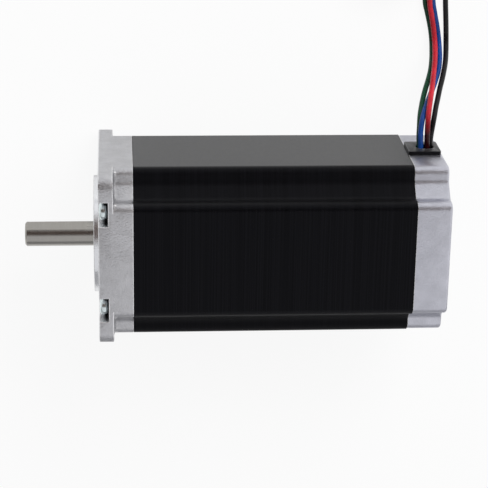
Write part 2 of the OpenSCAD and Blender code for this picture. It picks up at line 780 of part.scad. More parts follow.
front_bell();
rear_cap();
stator_core();
front_insulator();
rear_insulator();
winding(1);  // winding_1
winding(2);  // winding_2
winding(3);  // winding_3
winding(4);  // winding_4
winding(5);  // winding_5
winding(6);  // winding_6
winding(7);  // winding_7
winding(8);  // winding_8
terminal_board();
tie_screws();
preload_washer();
along(front_bearing_x) outer_race();  // front_outer_race
along(front_bearing_x) shields();  // front_shields
along(front_bearing_x) cage();  // front_cage
along(front_bearing_x) balls();  // front_balls
along(front_bearing_x) inner_race();  // front_inner_race
along(rear_bearing_x) outer_race();  // rear_outer_race
along(rear_bearing_x) shields();  // rear_shields
along(rear_bearing_x) cage();  // rear_cage
along(rear_bearing_x) balls();  // rear_balls
along(rear_bearing_x) inner_race();  // rear_inner_race
shaft();
rotor_cup(1, 0);  // rotor_cup_1
rotor_cup(1, 1);  // rotor_cup_2
rotor_cup(2, 0);  // rotor_cup_3
rotor_cup(2, 1);  // rotor_cup_4
rotor_cup(3, 0);  // rotor_cup_5
rotor_cup(3, 1);  // rotor_cup_6
rotor_magnet(1);  // rotor_magnet_1
rotor_magnet(2);  // rotor_magnet_2
rotor_magnet(3);  // rotor_magnet_3
rotor_spacers();
grommet();
inner_leads();
color([0.05, 0.32, 0.2]) lead(green_route);  // green_lead
color([0.08, 0.25, 0.6]) lead(blue_route);  // blue_lead
color([0.8, 0.12, 0.18]) lead(red_route);  // red_lead
color([0.08, 0.08, 0.08]) lead(black_route);  // black_lead
color([0.05, 0.32, 0.2]) lead_coil(0);  // green_coil
color([0.08, 0.25, 0.6]) lead_coil(1);  // blue_coil
color([0.8, 0.12, 0.18]) lead_coil(2);  // red_coil
color([0.08, 0.08, 0.08]) lead_coil(3);  // black_coil
lead_tie();
lead_tips();
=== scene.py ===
import math

import bmesh
import bpy
from mathutils import Matrix, Vector


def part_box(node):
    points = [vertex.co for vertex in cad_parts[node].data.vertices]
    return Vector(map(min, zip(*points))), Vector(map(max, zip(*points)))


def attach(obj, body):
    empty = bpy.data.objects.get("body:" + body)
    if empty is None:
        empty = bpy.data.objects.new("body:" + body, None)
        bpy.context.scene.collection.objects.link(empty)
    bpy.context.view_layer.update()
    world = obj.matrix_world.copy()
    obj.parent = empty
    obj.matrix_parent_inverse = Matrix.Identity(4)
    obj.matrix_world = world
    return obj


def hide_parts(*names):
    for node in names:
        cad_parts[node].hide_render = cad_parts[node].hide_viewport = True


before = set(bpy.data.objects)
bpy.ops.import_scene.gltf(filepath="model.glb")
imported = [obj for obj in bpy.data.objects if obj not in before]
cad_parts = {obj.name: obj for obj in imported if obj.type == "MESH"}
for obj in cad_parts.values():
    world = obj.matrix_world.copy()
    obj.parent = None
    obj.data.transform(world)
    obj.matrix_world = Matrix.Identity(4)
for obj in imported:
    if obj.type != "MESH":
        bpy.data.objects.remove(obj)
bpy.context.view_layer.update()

print("frame loaded:", len(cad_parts), "nodes")


# Selecting and editing

def deselectAll():
    if bpy.context.mode != "OBJECT":
        bpy.ops.object.mode_set(mode="OBJECT")
    bpy.ops.object.select_all(action="DESELECT")


def activate(piece):
    deselectAll()
    piece.select_set(True)
    bpy.context.view_layer.objects.active = piece


def startEditing(piece, kind):
    activate(piece)
    bpy.ops.object.mode_set(mode="EDIT")
    bpy.ops.mesh.select_mode(type=kind)
    bpy.ops.mesh.select_all(action="DESELECT")


def stopEditing():
    bpy.ops.object.mode_set(mode="OBJECT")


def selectFaces(piece, test):
    # test gets the middle and the normal of each face
    bpy.ops.mesh.select_mode(type="FACE")
    bpy.ops.mesh.select_all(action="DESELECT")
    mesh = bmesh.from_edit_mesh(piece.data)
    for face in mesh.faces:
        if test(face.calc_center_median(), face.normal):
            face.select_set(True)
    mesh.select_flush_mode()
    bmesh.update_edit_mesh(piece.data)


def selectEdges(piece, test):
    # test gets the two ends of each edge
    bpy.ops.mesh.select_mode(type="EDGE")
    bpy.ops.mesh.select_all(action="DESELECT")
    mesh = bmesh.from_edit_mesh(piece.data)
    for edge in mesh.edges:
        if test(edge.verts[0].co, edge.verts[1].co):
            edge.select_set(True)
    mesh.select_flush_mode()
    bmesh.update_edit_mesh(piece.data)


def selectPoints(piece, test):
    bpy.ops.mesh.select_mode(type="VERT")
    bpy.ops.mesh.select_all(action="DESELECT")
    mesh = bmesh.from_edit_mesh(piece.data)
    for point in mesh.verts:
        if test(point.co):
            point.select_set(True)
    mesh.select_flush_mode()
    bmesh.update_edit_mesh(piece.data)


def applyPlace(piece):
    activate(piece)
    bpy.ops.object.transform_apply(location=True, rotation=True, scale=True)


def smooth(piece, degrees):
    activate(piece)
    bpy.ops.object.shade_smooth_by_angle(angle=math.radians(degrees))


def copyOf(piece, name):
    twin = piece.copy()
    twin.data = piece.data.copy()
    twin.name = name
    twin.data.name = name
    bpy.context.collection.objects.link(twin)
    return twin


nodeCopyLook = {"joinWithin": 0.000002, "flatWithin": 0.4}


def copyOfNode(node, name):
    # A CAD node's mesh as a new piece, its loose triangles joined up
    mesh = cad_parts[node].data.copy()
    mesh.name = name
    piece = bpy.data.objects.new(name, mesh)
    bpy.context.collection.objects.link(piece)
    startEditing(piece, "VERT")
    bpy.ops.mesh.select_all(action="SELECT")
    bpy.ops.mesh.remove_doubles(threshold=nodeCopyLook["joinWithin"])
    bpy.ops.mesh.dissolve_limited(angle_limit=math.radians(nodeCopyLook["flatWithin"]))
    bpy.ops.mesh.select_all(action="DESELECT")
    stopEditing()
    return piece


def roundEdges(piece, width, segments, test, sharpest=28, slotNumber=-1):
    # Bevels the outward edges that turn by more than sharpest degrees and pass the test on their middle.
    # With a slotNumber, the rounded strips take that material of the piece
    mesh = bmesh.new()
    mesh.from_mesh(piece.data)
    weights = mesh.edges.layers.float.get("bevel_weight_edge")
    if weights is None:
        weights = mesh.edges.layers.float.new("bevel_weight_edge")
    for edge in mesh.edges:
        middle = (edge.verts[0].co + edge.verts[1].co) / 2
        turned = edge.is_convex and edge.calc_face_angle(0) > math.radians(sharpest)
        edge[weights] = 1.0 if turned and test(middle) else 0.0
    mesh.to_mesh(piece.data)
    mesh.free()
    activate(piece)
    rounding = piece.modifiers.new("Rounding", "BEVEL")
    rounding.limit_method = "WEIGHT"
    rounding.width = width
    rounding.segments = segments
    rounding.use_clamp_overlap = False
    rounding.miter_outer = "MITER_ARC"
    rounding.harden_normals = False
    rounding.material = slotNumber
    bpy.ops.object.modifier_apply(modifier=rounding.name)


def growRings(rings, sides, name):
    # Turned piece along +z: a filled circle, extruded ring by ring to each (height, radius)
    height, radius = rings[0]
    bpy.ops.mesh.primitive_circle_add(vertices=sides, radius=radius, fill_type="NGON",
                                      location=(0, 0, height))
    piece = bpy.context.object
    piece.name = name
    applyPlace(piece)
    bpy.ops.object.mode_set(mode="EDIT")
    bpy.ops.mesh.select_mode(type="FACE")
    bpy.ops.mesh.select_all(action="SELECT")
    for nextHeight, nextRadius in rings[1:]:
        bpy.ops.mesh.extrude_region_move(
            TRANSFORM_OT_translate={"value": (0, 0, nextHeight - height)})
        share = nextRadius / radius
        bpy.ops.transform.resize(value=(share, share, 1), center_override=(0, 0, nextHeight))
        height, radius = nextHeight, nextRadius
    bpy.ops.mesh.select_all(action="SELECT")
    bpy.ops.mesh.normals_make_consistent(inside=False)
    bpy.ops.mesh.select_all(action="DESELECT")
    stopEditing()
    return piece


def useFinishes(piece, *finishes):
    piece.data.materials.clear()
    for finish in finishes:
        piece.data.materials.append(finish)


def finishPiece(piece, body, finish=None, replaced=()):
    # Without a finish the piece keeps the ones that it has
    if finish:
        useFinishes(piece, finish)
    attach(piece, body)
    if replaced:
        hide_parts(*replaced)


# Materials

def plainFinish(name, colour, metallic=0.0, roughness=0.5, specular=0.5):
    finish = bpy.data.materials.new(name)
    finish.use_nodes = True
    shader = finish.node_tree.nodes["Principled BSDF"]
    shader.inputs["Base Color"].default_value = (*colour, 1)
    shader.inputs["Metallic"].default_value = metallic
    shader.inputs["Roughness"].default_value = roughness
    shader.inputs["Specular IOR Level"].default_value = specular
    return finish


def addNode(finish, kind, sockets=None, **settings):
    node = finish.node_tree.nodes.new(kind)
    for name, value in settings.items():
        setattr(node, name, value)
    for name, value in (sockets or {}).items():
        node.inputs[name].default_value = value
    return node


def join(finish, source, output, target, socket):
    finish.node_tree.links.new(source.outputs[output], target.inputs[socket])


def objectPlace(finish, stretch=(1, 1, 1)):
    # Object coordinates, stretched to the grain of the surface
    place = addNode(finish, "ShaderNodeTexCoord")
    grain = addNode(finish, "ShaderNodeMapping", {"Scale": stretch})
    join(finish, place, "Object", grain, "Vector")
    return grain


def speckle(finish, scale, detail=3.0, stretch=(1, 1, 1)):
    noise = addNode(finish, "ShaderNodeTexNoise", {"Scale": scale, "Detail": detail, "Roughness": 0.6})
    join(finish, objectPlace(finish, stretch), "Vector", noise, "Vector")
    return noise


def colourVariation(finish, noise, dark, light, low=0.35, high=0.65):
    ramp = addNode(finish, "ShaderNodeValToRGB")
    ramp.color_ramp.elements[0].position = low
    ramp.color_ramp.elements[0].color = (*dark, 1)
    ramp.color_ramp.elements[1].position = high
    ramp.color_ramp.elements[1].color = (*light, 1)
    join(finish, noise, "Fac", ramp, "Fac")
    join(finish, ramp, "Color", finish.node_tree.nodes["Principled BSDF"], "Base Color")


def roughnessVariation(finish, noise, low, high):
    spread = addNode(finish, "ShaderNodeMapRange",
                     {"From Min": 0.3, "From Max": 0.7, "To Min": low, "To Max": high})
    join(finish, noise, "Fac", spread, "Value")
    join(finish, spread, "Result", finish.node_tree.nodes["Principled BSDF"], "Roughness")


def relief(finish, texture, output, height, under=None):
    bump = addNode(finish, "ShaderNodeBump", {"Strength": 1.0, "Distance": height})
    join(finish, texture, output, bump, "Height")
    if under:
        join(finish, under, "Normal", bump, "Normal")
    join(finish, bump, "Normal", finish.node_tree.nodes["Principled BSDF"], "Normal")
    return bump


def axisParts(finish):
    parts = addNode(finish, "ShaderNodeSeparateXYZ")
    join(finish, objectPlace(finish), "Vector", parts, "Vector")
    return parts


def away(finish, parts, axis):
    # Distance from the middle along one axis
    distance = addNode(finish, "ShaderNodeMath", operation="ABSOLUTE")
    join(finish, parts, axis, distance, 0)
    return distance


def zone(finish, source, output, start, full):
    # Grows from 0 at start to 1 at full
    mask = addNode(finish, "ShaderNodeMapRange", {"From Min": start, "From Max": full})
    join(finish, source, output, mask, "Value")
    return mask


def changeRoughness(finish, mask, value):
    # Where the mask is 1, the roughness becomes the value
    shader = finish.node_tree.nodes["Principled BSDF"]
    before = shader.inputs["Roughness"].links[0].from_socket
    change = addNode(finish, "ShaderNodeMapRange", {"To Max": value})
    finish.node_tree.links.new(before, change.inputs["To Min"])
    join(finish, mask, "Result", change, "Value")
    join(finish, change, "Result", shader, "Roughness")


def changeColour(finish, mask, colour):
    # Where the mask is 1, the base colour becomes this one
    shader = finish.node_tree.nodes["Principled BSDF"]
    before = shader.inputs["Base Color"].links[0].from_socket
    change = addNode(finish, "ShaderNodeMix", data_type="RGBA")
    factor, first, second = change.inputs[0], change.inputs[6], change.inputs[7]
    second.default_value = (*colour, 1)
    finish.node_tree.links.new(mask.outputs["Result"], factor)
    finish.node_tree.links.new(before, first)
    finish.node_tree.links.new(change.outputs[2], shader.inputs["Base Color"])


def calmRelief(finish, mask, share):
    # Where the mask is 1, every bump keeps only this share of its strength
    for bump in [node for node in finish.node_tree.nodes if node.bl_idname == "ShaderNodeBump"]:
        calmer = addNode(finish, "ShaderNodeMapRange", {"To Min": 1.0, "To Max": share})
        join(finish, mask, "Result", calmer, "Value")
        join(finish, calmer, "Result", bump, "Strength")


def lowest(finish, first, second):
    # The lower of two sockets
    both = addNode(finish, "ShaderNodeMath", operation="MINIMUM")
    finish.node_tree.links.new(first, both.inputs[0])
    finish.node_tree.links.new(second, both.inputs[1])
    return both


def pocketShadeMask(finish, look):
    # 1 deep inside the four screw pockets, where the casting gets painted shade
    parts = axisParts(finish)
    sideways = addNode(finish, "ShaderNodeMath", {1: look["pocketMiddle"]}, operation="SUBTRACT")
    join(finish, away(finish, parts, "Y"), "Value", sideways, 0)
    fromScrew = addNode(finish, "ShaderNodeMath", operation="ABSOLUTE")
    join(finish, sideways, "Value", fromScrew, 0)
    limits = [
        zone(finish, fromScrew, "Value", *look["pocketSide"]),
        zone(finish, away(finish, parts, "Z"), "Value", *look["pocketDepth"]),
        zone(finish, parts, "X", *look["pocketFrom"]),
        zone(finish, parts, "X", *look["pocketTo"]),
    ]
    inside = limits[0].outputs["Result"]
    for limit in limits[1:]:
        inside = lowest(finish, inside, limit.outputs["Result"]).outputs["Value"]
    mask = addNode(finish, "ShaderNodeMapRange")
    finish.node_tree.links.new(inside, mask.inputs["Value"])
    return mask


def castMetal(name, look):
    # Cloudy grey with a fine grain over small lumps
    finish = plainFinish(name, look["light"], 1.0, look["roughness"][0])
    broad = speckle(finish, look["blotchScale"], 6.0)
    colourVariation(finish, broad, look["dark"], look["light"], 0.3, 0.7)
    fine = speckle(finish, look["grainScale"], 2.5)
    roughnessVariation(finish, fine, *look["roughness"])
    first = relief(finish, fine, "Fac", look["grainHeight"])
    relief(finish, speckle(finish, look["lumpScale"], 1.0), "Fac", look["lumpHeight"], under=first)
    return finish


castLook = {
    "light": (0.64, 0.64, 0.66), "dark": (0.53, 0.53, 0.545), "blotchScale": 220,
    "grainScale": 1900, "grainHeight": 0.0002, "lumpScale": 1200, "lumpHeight": 0.00005,
    "roughness": (0.3, 0.44),
    "turnedFrom": (0.0003, 0.0001), "turnedColour": (0.88, 0.89, 0.91),
    "turnedRoughness": 0.18, "turnedRelief": 0.15,
    "pocketMiddle": 0.016, "pocketSide": (0.0044, 0.0041), "pocketDepth": (0.0259, 0.0247),
    "pocketFrom": (0.0012, 0.0022), "pocketTo": (0.0037, 0.0035), "pocketShadeColour": (0.06, 0.06, 0.063),
}
capLook = {
    "light": (0.66, 0.665, 0.73), "dark": (0.56, 0.565, 0.62), "blotchScale": 220,
    "grainScale": 1900, "grainHeight": 0.0001, "lumpScale": 1200, "lumpHeight": 0.00004,
    "roughness": (0.3, 0.44),
}
edgeLook = {
    "light": (0.94, 0.94, 0.95), "dark": (0.8, 0.8, 0.81), "blotchScale": 400,
    "grainScale": 1900, "grainHeight": 0.0001, "lumpScale": 1200, "lumpHeight": 0.00003,
    "roughness": (0.22, 0.36),
}
castAluminium = castMetal("castAluminium", castLook)
capAluminium = castMetal("capAluminium", capLook)
wornEdge = castMetal("wornEdge", edgeLook)
turnedFront = zone(castAluminium, axisParts(castAluminium), "X", *castLook["turnedFrom"])
changeColour(castAluminium, turnedFront, castLook["turnedColour"])
changeRoughness(castAluminium, turnedFront, castLook["turnedRoughness"])
calmRelief(castAluminium, turnedFront, castLook["turnedRelief"])
# Painted shade: the deep parts of the screw pockets are coloured dark
changeColour(castAluminium, pocketShadeMask(castAluminium, castLook), castLook["pocketShadeColour"])

laminationLook = {
    "dark": (0.001, 0.001, 0.0013), "light": (0.003, 0.003, 0.0038), "specular": 1.0,
    "faceOnTint": (0.08, 0.08, 0.09), "roughness": (0.18, 0.25), "roughScale": 1400,
    "sheetPitch": 0.0005, "sheetStretch": 0.004, "sheetHeight": 0.00001,
    "notchFrom": (0.0165, 0.0182), "notchRoughness": 0.5,
}


def darkenFaceOn(finish, tint):
    # Less gloss where a surface is seen face on, full gloss at a grazing angle
    finish.node_tree.nodes["Principled BSDF"].inputs["Specular Tint"].default_value = (*tint, 1)


def dusty(finish, weight, roughness):
    # A pale film, seen at a grazing angle
    shader = finish.node_tree.nodes["Principled BSDF"]
    shader.inputs["Sheen Weight"].default_value = weight
    shader.inputs["Sheen Roughness"].default_value = roughness


def laminationPaint():
    # Black paint over thin sheets, duller in the four corner notches
    look = laminationLook
    finish = plainFinish("laminationPaint", look["dark"], specular=look["specular"])
    darkenFaceOn(finish, look["faceOnTint"])
    sheets = speckle(finish, 1 / look["sheetPitch"], 1.0, (1, look["sheetStretch"], look["sheetStretch"]))
    colourVariation(finish, sheets, look["dark"], look["light"])
    roughnessVariation(finish, speckle(finish, look["roughScale"], 3.0), *look["roughness"])
    relief(finish, sheets, "Fac", look["sheetHeight"])
    parts = axisParts(finish)
    nearer = addNode(finish, "ShaderNodeMath", operation="MINIMUM")
    join(finish, away(finish, parts, "Y"), "Value", nearer, 0)
    join(finish, away(finish, parts, "Z"), "Value", nearer, 1)
    changeRoughness(finish, zone(finish, nearer, "Value", *look["notchFrom"]), look["notchRoughness"])
    return finish


brushedLook = {"markStretch": 0.02, "markShade": 0.9, "dullScale": 500}
wireLook = {
    "roughness": 0.3, "strandScale": 2000, "strandStretch": 0.01, "strandShade": 0.4,
    "shadeFrom": 0.42, "shadeTo": 0.58, "strandHeight": 0.0002,
}
rubberLook = {
    "colour": (0.005, 0.005, 0.006), "grainScale": 1600, "grainHeight": 0.00004, "roughness": (0.28, 0.4),
    "faceOnTint": (0.25, 0.25, 0.27), "dust": 0.16, "dustRoughness": 0.4,
}


def shaded(colour, share):
    return tuple(value * share for value in colour)


def brushedMetal(name, colour, pitch, height, roughness):
    # Fine turning marks round the motor's axis
    look = brushedLook
    finish = plainFinish(name, colour, 1.0, roughness[0])
    marks = speckle(finish, 1 / pitch, 2.0, (1, look["markStretch"], look["markStretch"]))
    roughnessVariation(finish, speckle(finish, look["dullScale"], 2.0), *roughness)
    colourVariation(finish, marks, shaded(colour, look["markShade"]), colour)
    relief(finish, marks, "Fac", height)
    return finish


def grainyFinish(name, colour, scale, height, roughness, metallic=0.0, darker=0.8):
    finish = plainFinish(name, colour, metallic, roughness[0])
    fine = speckle(finish, scale, 3.0)
    colourVariation(finish, fine, shaded(colour, darker), colour)
    roughnessVariation(finish, fine, *roughness)
    relief(finish, fine, "Fac", height)
    return finish


def enamelledWire(name, colour):
    # Strands that run along the motor
    look = wireLook
    finish = plainFinish(name, colour, 1.0, look["roughness"])
    strands = speckle(finish, look["strandScale"], 1.0, (look["strandStretch"], 1, 1))
    colourVariation(finish, strands, shaded(colour, look["strandShade"]), colour,
                    look["shadeFrom"], look["shadeTo"])
    relief(finish, strands, "Fac", look["strandHeight"])
    return finish


def dustyRubber():
    look = rubberLook
    finish = grainyFinish("grommetRubber", look["colour"], look["grainScale"], look["grainHeight"],
                          look["roughness"])
    darkenFaceOn(finish, look["faceOnTint"])
    dusty(finish, look["dust"], look["dustRoughness"])
    return finish


shaftSteel = brushedMetal("shaftSteel", (0.42, 0.405, 0.378), 0.00012, 0.000002, (0.14, 0.22))
bearingSteel = brushedMetal("bearingSteel", (0.62, 0.63, 0.64), 0.0002, 0.000002, (0.12, 0.2))
springSteel = brushedMetal("springSteel", (0.42, 0.43, 0.45), 0.0003, 0.000004, (0.25, 0.35))
rotorSteel = brushedMetal("rotorSteel", (0.3, 0.3, 0.32), 0.0005, 0.00002, (0.3, 0.45))
cageBrass = grainyFinish("cageBrass", (0.7, 0.5, 0.22), 1200, 0.00001, (0.25, 0.4), 1.0)
screwZinc = grainyFinish("screwZinc", (0.84, 0.93, 0.94), 1500, 0.000008, (0.12, 0.2), 1.0, darker=0.9)
magnetFinish = grainyFinish("magnetFinish", (0.06, 0.06, 0.065), 1800, 0.00003, (0.5, 0.65))
insulatorPlastic = grainyFinish("insulatorPlastic", (0.72, 0.7, 0.62), 900, 0.00001, (0.4, 0.5))
boardFinish = grainyFinish("boardFinish", (0.03, 0.2, 0.08), 1400, 0.00001, (0.3, 0.4))
grommetRubber = dustyRubber()
tiePlastic = grainyFinish("tiePlastic", (0.012, 0.012, 0.013), 700, 0.00001, (0.3, 0.4))
tinnedCopper = grainyFinish("tinnedCopper", (0.66, 0.66, 0.66), 2500, 0.00001, (0.2, 0.35), 1.0)
copper = enamelledWire("copper", (0.72, 0.3, 0.12))
copperDark = enamelledWire("copperDark", (0.6, 0.24, 0.1))
laminations = laminationPaint()
print("materials made")


# Camera

cameraView = {
    "place": (0.00632, 0.20008, 0.55454), "turn": (-0.353228, -0.068793, 0.015772),
    "lens": 132.005, "sensor": 36,
}
bpy.ops.object.camera_add(location=cameraView["place"], rotation=cameraView["turn"])
camera = bpy.context.object
camera.data.lens = cameraView["lens"]
camera.data.sensor_width = cameraView["sensor"]
camera.data.clip_end = 20
bpy.context.scene.camera = camera
print("camera placed")


# Leads: the free stretch of each, then its put-away coil with a curl inside and a tinned end

leadLook = {
    "diameter": 0.0018, "length": 0.31, "insideGrommet": 0.0035,
    "coilMiddle": (0.098, 0.092), "outerRadius": 0.014, "turnStep": 0.0023, "turns": 3.5,
    "knotAngle": 20, "curlRadius": 0.004, "curlAngle": 130, "curlKnots": 6, "straightEnd": 0.0018,
    "sectionPoints": 5, "curvePoints": 6,
}
insulationLook = {
    "roughness": 0.26, "faceOnTint": (0.6, 0.6, 0.6), "shade": 0.75, "blotchScale": 260,
    "grainScale": 1500, "grainHeight": 0.000012,
    # The next entry paints a shadow on the red lead where it leaves the grommet
    "paintedShadeBetween": (0.042, 0.0335), "paintedShadeColours": {"red": (0.02, 0.001, 0.002)},
}
leadColours = {
    "green": (0.002, 0.06, 0.024), "blue": (0.006, 0.055, 0.26),
    "red": (0.54, 0.014, 0.03), "black": (0.004, 0.004, 0.0045),
}
leadRoutes = {
    "green": [
        (0.1048, 0.0292, -0.0011), (0.1046, 0.0328, -0.0011), (0.1047, 0.0359, -0.0017),
        (0.105, 0.0387, -0.0033), (0.1057, 0.0408, -0.0058), (0.1066, 0.0428, -0.0087),
        (0.1078, 0.0452, -0.0119), (0.1092, 0.0476, -0.0152), (0.1104, 0.05, -0.0184),
        (0.1112, 0.0523, -0.0217), (0.1117, 0.055, -0.0249), (0.1117, 0.0589, -0.0269),
        (0.111, 0.0631, -0.0273), (0.11, 0.0671, -0.0273), (0.109, 0.0711, -0.0273),
        (0.109, 0.0752, -0.0273), (0.1096, 0.0795, -0.0273), (0.1106, 0.084, -0.0271),
        (0.1116, 0.0875, -0.0268), (0.112, 0.0902, -0.0266),
    ],
    "blue": [
        (0.1049, 0.0292, 0.0011), (0.1047, 0.0328, 0.001), (0.105, 0.0366, 0.0001),
        (0.106, 0.0398, -0.0022), (0.1073, 0.0418, -0.0052), (0.1087, 0.0436, -0.0083),
        (0.1102, 0.0456, -0.0117), (0.1117, 0.0478, -0.015), (0.113, 0.05, -0.0184),
        (0.1138, 0.0523, -0.0217), (0.1142, 0.055, -0.0249), (0.114, 0.0589, -0.0269),
        (0.1133, 0.0631, -0.0273), (0.1124, 0.0671, -0.0273), (0.1116, 0.0711, -0.0273),
        (0.1114, 0.0752, -0.0269), (0.1116, 0.0795, -0.0261), (0.1118, 0.084, -0.025),
        (0.112, 0.0875, -0.0245), (0.112, 0.0902, -0.0243),
    ],
    "red": [
        (0.107, 0.0292, 0.0011), (0.1069, 0.0328, 0.0013), (0.1069, 0.037, 0.0009),
        (0.1074, 0.0407, -0.001), (0.1082, 0.0434, -0.004), (0.109, 0.0455, -0.007),
        (0.1098, 0.0475, -0.0103), (0.1106, 0.0495, -0.0138), (0.1114, 0.0516, -0.0172),
        (0.112, 0.0538, -0.0204), (0.1124, 0.0563, -0.0233), (0.1123, 0.0595, -0.025),
        (0.1118, 0.0631, -0.0254), (0.111, 0.0671, -0.0254), (0.1102, 0.0711, -0.0254),
        (0.1102, 0.0752, -0.025), (0.1106, 0.0795, -0.024), (0.1114, 0.084, -0.0229),
        (0.1119, 0.0875, -0.0223), (0.112, 0.0902, -0.022),
    ],
    "black": [
        (0.1083, 0.0292, -0.0011), (0.1085, 0.0328, -0.001), (0.109, 0.036, -0.0015),
        (0.1097, 0.0388, -0.0031), (0.1105, 0.0409, -0.0057), (0.1115, 0.043, -0.0086),
        (0.1126, 0.0455, -0.0118), (0.1138, 0.0481, -0.0148), (0.1149, 0.0504, -0.0181),
        (0.1158, 0.0525, -0.0215), (0.1164, 0.0551, -0.0248), (0.1166, 0.0589, -0.0269),
        (0.1164, 0.0631, -0.0272), (0.1161, 0.0671, -0.0272), (0.1158, 0.0711, -0.0272),
        (0.1155, 0.0752, -0.0266), (0.115, 0.0795, -0.0249), (0.1139, 0.084, -0.0223),
        (0.1127, 0.0875, -0.0204), (0.112, 0.0902, -0.0197),
    ],
}


def leadInsulation(colour):
    # Soft gloss; a lead listed with a painted shadow colour turns to it towards the grommet, as painted
    # shadow where it leaves the grommet
    look = insulationLook
    tone = leadColours[colour]
    finish = plainFinish(colour + "Insulation", tone, roughness=look["roughness"])
    darkenFaceOn(finish, look["faceOnTint"])
    colourVariation(finish, speckle(finish, look["blotchScale"], 2.0), shaded(tone, look["shade"]), tone)
    if colour in look["paintedShadeColours"]:
        # Painted shadow: the lead's colour darkens towards the grommet
        paintedShade = zone(finish, axisParts(finish), "Y", *look["paintedShadeBetween"])
        changeColour(finish, paintedShade, look["paintedShadeColours"][colour])
    relief(finish, speckle(finish, look["grainScale"], 2.0), "Fac", look["grainHeight"])
    return finish


def turned(middle, radius, degrees, height):
    # A point on a flat circle
    angle = math.radians(degrees)
    return Vector((middle[0] + radius * math.cos(angle), middle[1] + radius * math.sin(angle), height))


def coilPoints(height):
    look = leadLook
    fullTurn = 360 * look["turns"]
    points = []
    for step in range(int(fullTurn / look["knotAngle"]) + 1):
        angle = step * look["knotAngle"]
        points.append(turned(look["coilMiddle"], look["outerRadius"] - look["turnStep"] * angle / 360,
                             angle, height))
    innerRadius = look["outerRadius"] - look["turnStep"] * look["turns"]
    curlMiddle = turned(look["coilMiddle"], innerRadius - look["curlRadius"], fullTurn, height)
    for step in range(1, look["curlKnots"] + 1):
        angle = fullTurn + look["curlAngle"] * step / look["curlKnots"]
        points.append(turned(curlMiddle, look["curlRadius"], angle, height))
    points.append(points[-1] + look["straightEnd"] * tipDirection())
    return points


def tipDirection():
    return turned((0, 0), 1, 360 * leadLook["turns"] + leadLook["curlAngle"] + 90, 0)


def leadPoints(route):
    start = Vector(route[0]) - Vector((0, leadLook["insideGrommet"], 0))
    return [start] + [Vector(point) for point in route] + coilPoints(route[-1][2])


def roundCurve(name, points, diameter):
    curve = bpy.data.curves.new(name, "CURVE")
    curve.dimensions = "3D"
    curve.bevel_depth = diameter / 2
    curve.bevel_resolution = leadLook["sectionPoints"]
    curve.resolution_u = leadLook["curvePoints"]
    curve.use_fill_caps = True
    spline = curve.splines.new("BEZIER")
    spline.bezier_points.add(len(points) - 1)
    for knot, point in zip(spline.bezier_points, points):
        knot.co = point
        knot.handle_left_type = "AUTO"
        knot.handle_right_type = "AUTO"
    piece = bpy.data.objects.new(name, curve)
    bpy.context.collection.objects.link(piece)
    return piece


tipLook = {
    "diameter": 0.001, "length": 0.004, "inside": 0.0004, "strands": 7, "pointsPerStrand": 4,
    "valleyShare": 0.82, "steps": 12, "twist": 150, "endShare": 0.55, "smoothAngle": 50,
}


def modelTip():
    # Seven twisted strands as a lobed section, extruded and turned step by step, with a rounded end
    look = tipLook
    sides = look["strands"] * look["pointsPerStrand"]
    bpy.ops.mesh.primitive_circle_add(vertices=sides, radius=look["diameter"] / 2, fill_type="NGON")
    piece = bpy.context.object
    startEditing(piece, "VERT")
    pitch = 2 * math.pi / look["strands"]
    valley = pitch / (2 * look["pointsPerStrand"])

    def inValley(point):
        return (math.atan2(point.y, point.x) + valley) % pitch < 2 * valley

    selectPoints(piece, inValley)
    share = look["valleyShare"]
    bpy.ops.transform.resize(value=(share, share, 1), center_override=(0, 0, 0))
    bpy.ops.mesh.select_mode(type="FACE")
    bpy.ops.mesh.select_all(action="SELECT")
    step = (look["length"] + look["inside"]) / look["steps"]
    for number in range(look["steps"]):
        bpy.ops.mesh.extrude_region_move(TRANSFORM_OT_translate={"value": (0, 0, step)})
        height = step * (number + 1)
        bpy.ops.transform.rotate(value=math.radians(look["twist"] / look["steps"]), orient_axis="Z",
                                 center_override=(0, 0, height))
    share = look["endShare"]
    bpy.ops.transform.resize(value=(share, share, 1), center_override=(0, 0, height))
    bpy.ops.mesh.select_all(action="SELECT")
    bpy.ops.mesh.normals_make_consistent(inside=False)
    stopEditing()
    smooth(piece, look["smoothAngle"])
    return piece


tipMould = modelTip()
for colour, route in leadRoutes.items():
    lead = roundCurve(colour + "Lead", leadPoints(route), leadLook["diameter"])
    finishPiece(lead, "housing", leadInsulation(colour),
                (colour + "_lead", colour + "_coil", "inner_leads"))
    tip = copyOf(tipMould, colour + "Tip")
    start = coilPoints(route[-1][2])[-1] - tipLook["inside"] * tipDirection()
    turn = tipDirection().to_track_quat("Z", "Y").to_matrix().to_4x4()
    tip.data.transform(Matrix.Translation(start) @ turn)
    finishPiece(tip, "housing", tinnedCopper, ("lead_tips",))
bpy.data.objects.remove(tipMould)
print("leads and their tinned ends made")


# Tie round the four coils

tieLook = {
    "thickness": 0.0006, "cornerRadius": 0.0012, "cornerSegments": 6,
    "edge": 0.00015, "edgeSegments": 2, "sharpest": 60, "bandSmooth": 40,
    "head": (0.0036, 0.0042, 0.0024), "headSunk": 0.0002, "headRounding": 0.0004, "headSegments": 3,
    "slotRim": 0.0003, "slotShares": (0.9, 1, 0.6), "tail": 0.004, "tailShares": (0.85, 1, 0.7),
    "headSmooth": 35,
}


